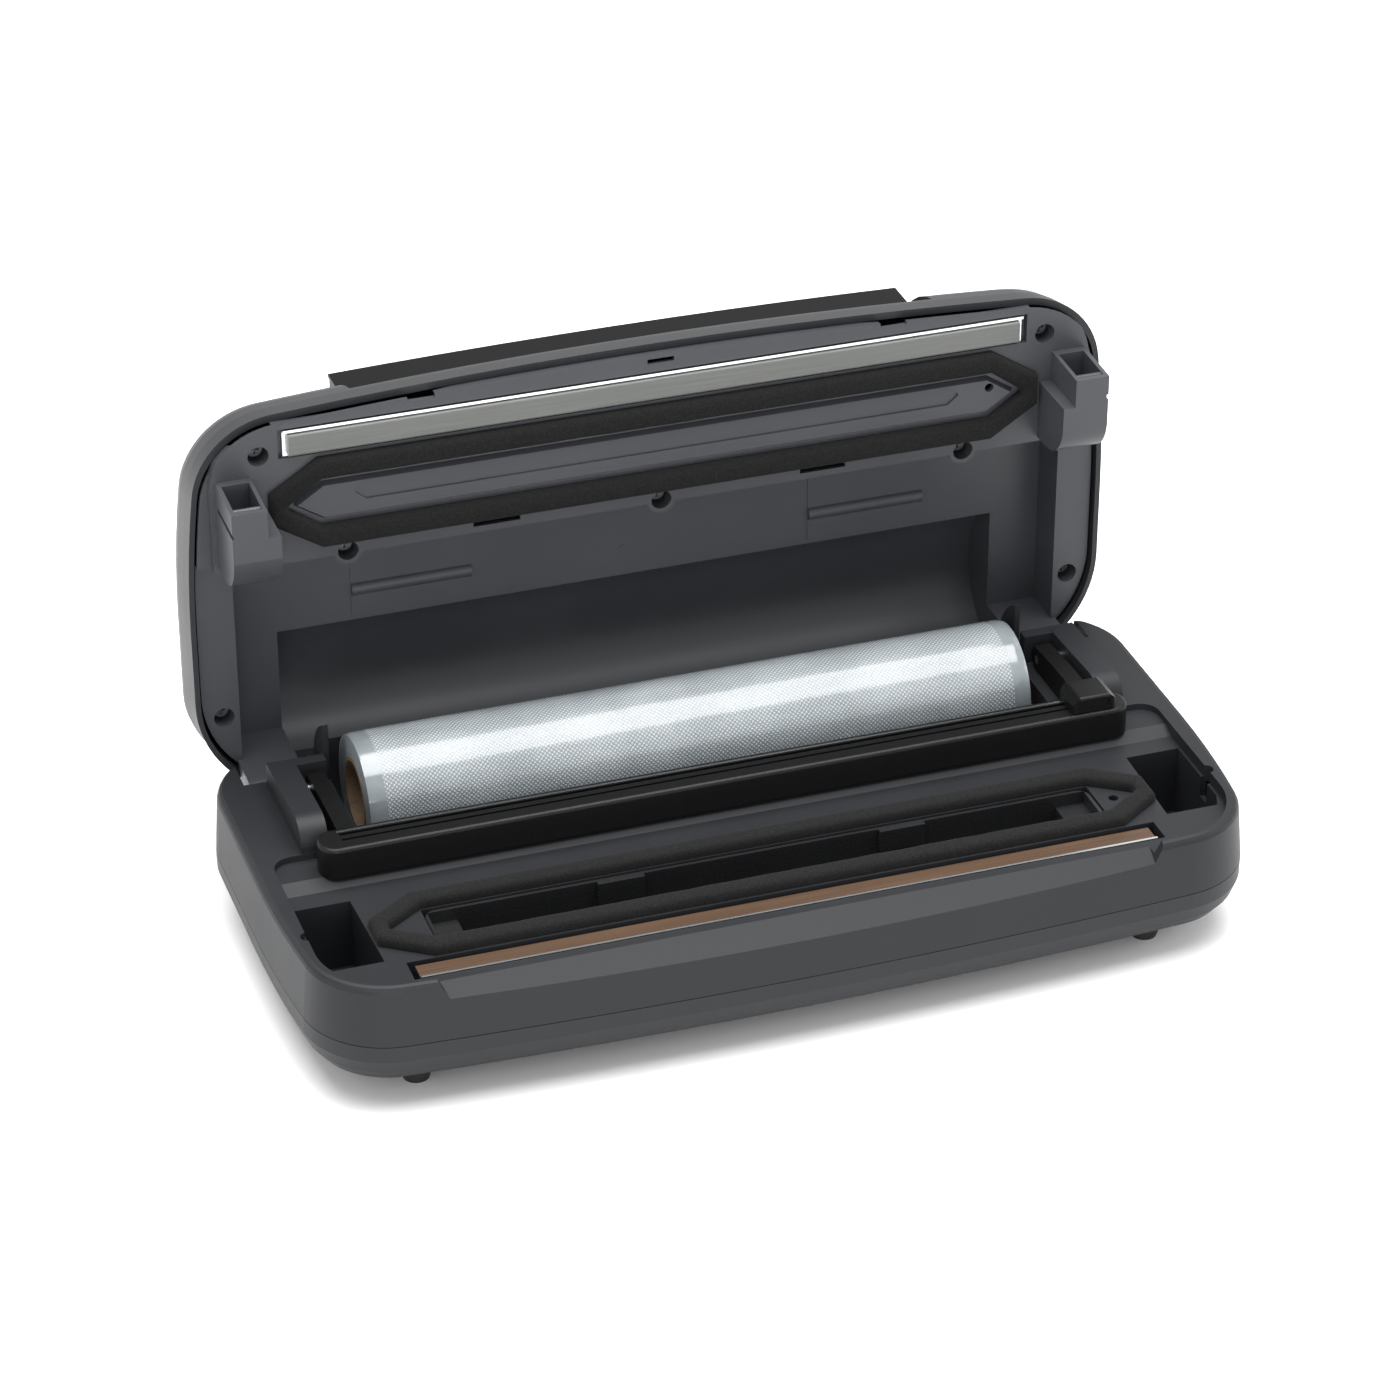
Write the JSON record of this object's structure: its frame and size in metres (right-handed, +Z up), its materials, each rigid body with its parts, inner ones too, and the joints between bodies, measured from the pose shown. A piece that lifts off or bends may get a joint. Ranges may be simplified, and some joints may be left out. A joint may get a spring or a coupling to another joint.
{
  "type": "vacuum sealer",
  "caption": "Countertop vacuum sealer with a hinged lid, built-in bag roll, swinging cutter bar, heated sealing strip and a vacuum chamber ringed with foam.",
  "frame": {"origin": "on the surface the feet stand on, midway between the two sides, 80 mm in front of the lid's hinge axis, which is the middle of the footprint", "axes": "+X to the user's right along the long side, +Y to the rear, +Z up; the lid is stored standing open"},
  "size_m": [0.395, 0.2439, 0.2138],
  "materials": {
    "housing_grey": "fine satin moulded texture",
    "cover_grey": "satin moulded texture",
    "lid_grey": "satin",
    "liner_grey": "fine satin",
    "cutter_black": "fine grain",
    "tray_grey": "semi gloss",
    "foam": "open cell foam",
    "foot_rubber": "matt",
    "silicone": "satin silicone",
    "tape": "woven PTFE glass cloth",
    "bright_metal": "satin",
    "steel": "brushed",
    "screw_steel": "zinc",
    "film": "clear embossed film",
    "card": "matt cardboard",
    "pump_black": "matt",
    "board_green": "solder resist",
    "hose": "soft tube",
    "panel_dark": "semi gloss",
    "key_grey": "soft satin"
  },
  "bodies": {
    "base": {"base_upper_housing": "housing_grey", "bottom_cover": "cover_grey", "rubber_feet": "foot_rubber", "bottom_cover_screws": "screw_steel", "heater_bar": "bright_metal", "heating_element": "steel", "ptfe_tape": "tape", "lower_gasket": "foam", "vacuum_pump": "pump_black", "pump_motor": "steel", "vacuum_hose": "hose", "main_circuit_board": "board_green", "power_board": "board_green", "power_inlet": "pump_black", "lid_switches": "pump_black", "hinge_pins": "steel", "cutter_pivot_pins": "steel"},
    "tray": {"drip_tray": "tray_grey"},
    "latch": {"latch_shaft": "steel", "latch_hooks": "pump_black"},
    "cutter": {"cutter_frame": "cutter_black", "cutter_rail": "bright_metal"},
    "slider": {"cutter_slider": "cutter_black", "cutter_blade": "steel"},
    "roll": {"film_roll": "film", "roll_core": "card"},
    "lid": {"lid_outer_shell": "lid_grey", "lid_inner_liner": "liner_grey", "upper_gasket": "foam", "seal_bar_channel": "bright_metal", "silicone_strip": "silicone", "strike_pins": "steel", "lid_screws": "screw_steel", "control_panel": "panel_dark", "lid_circuit_board": "board_green"},
    "vacuum_seal_key": {"vacuum_seal_button": "key_grey"},
    "seal_key": {"seal_button": "key_grey"},
    "pulse_key": {"pulse_button": "key_grey"},
    "mode_key": {"mode_button": "key_grey"},
    "cancel_key": {"cancel_button": "key_grey"}
  },
  "joints": [
    {"name": "lid_hinge", "type": "hinge", "parent": "base", "child": "lid", "pos_m": [0, 0.08, 0.045], "axis": [-1, 0, 0], "range_deg": [-90, 0]},
    {"name": "cutter_frame_hinge", "type": "hinge", "parent": "base", "child": "cutter", "pos_m": [0, 0.054, 0.06], "axis": [-1, 0, 0], "range_deg": [0, 75]},
    {"name": "cutter_slide", "type": "slide", "parent": "cutter", "child": "slider", "axis": [-1, 0, 0], "range_m": [0, 0.292]},
    {"name": "roll_spin", "type": "hinge", "parent": "base", "child": "roll", "pos_m": [0, 0.055, 0.0525], "axis": [1, 0, 0], "continuous": true},
    {"name": "latch_turn", "type": "hinge", "parent": "base", "child": "latch", "pos_m": [0, -0.0715, 0.026], "axis": [-1, 0, 0], "range_deg": [0, 16], "stiffness_Nm_per_rad": 0.05, "springref_deg": -5.73},
    {"name": "tray_lift", "type": "slide", "parent": "base", "child": "tray", "axis": [0, 0, 1], "range_m": [0, 0.04]},
    {"name": "vacuum_seal_key_press", "type": "slide", "parent": "lid", "child": "vacuum_seal_key", "axis": [0, -1, 0], "range_m": [0, 0.0008], "stiffness_N_per_m": 600, "springref_m": -0.0004},
    {"name": "seal_key_press", "type": "slide", "parent": "lid", "child": "seal_key", "axis": [0, -1, 0], "range_m": [0, 0.0008], "stiffness_N_per_m": 600, "springref_m": -0.0004},
    {"name": "pulse_key_press", "type": "slide", "parent": "lid", "child": "pulse_key", "axis": [0, -1, 0], "range_m": [0, 0.0008], "stiffness_N_per_m": 600, "springref_m": -0.0004},
    {"name": "mode_key_press", "type": "slide", "parent": "lid", "child": "mode_key", "axis": [0, -1, 0], "range_m": [0, 0.0008], "stiffness_N_per_m": 600, "springref_m": -0.0004},
    {"name": "cancel_key_press", "type": "slide", "parent": "lid", "child": "cancel_key", "axis": [0, -1, 0], "range_m": [0, 0.0008], "stiffness_N_per_m": 600, "springref_m": -0.0004}
  ]
}
